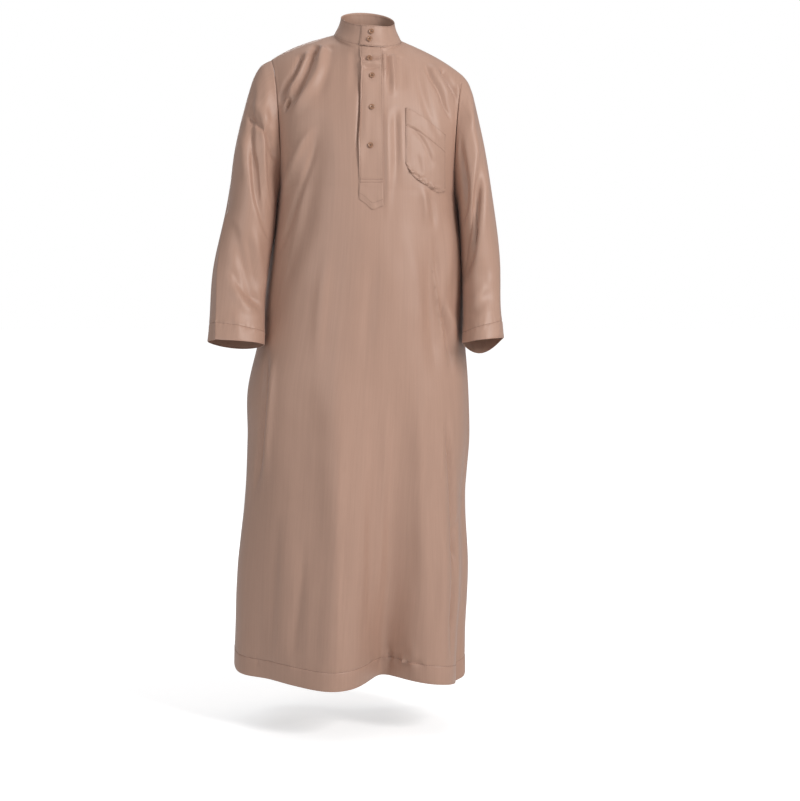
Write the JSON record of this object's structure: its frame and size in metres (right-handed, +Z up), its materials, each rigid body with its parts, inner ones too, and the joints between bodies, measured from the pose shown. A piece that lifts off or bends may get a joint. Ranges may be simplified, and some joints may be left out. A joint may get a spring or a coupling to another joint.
{
  "type": "long thobe-style kurta",
  "caption": "Ankle-length thobe-style kurta as worn: straight body, stand collar, buttoned half placket with a pointed end, chest patch pocket and long set-in sleeves.",
  "frame": {"origin": "on the shoulders, midway between the two side-neck points, where the wearer carries the garment", "axes": "+X towards the wearer's left, -Y out of the front, +Z up"},
  "size_m": [0.606, 0.3646, 1.3913],
  "materials": {
    "cloth": "soft satin, dusty rose-beige",
    "trim_cloth": "soft satin, dusty rose-beige, backed with a stiffener",
    "button": "brown horn-look, polished"
  },
  "bodies": {
    "root": {"front": "cloth", "back": "cloth", "sleeve_right": "cloth", "sleeve_left": "cloth", "collar": "trim_cloth", "placket": "trim_cloth", "pocket": "trim_cloth", "button_1": "button", "button_2": "button", "button_3": "button", "button_4": "button", "collar_button_upper": "button", "collar_button_lower": "button"}
  },
  "joints": []
}
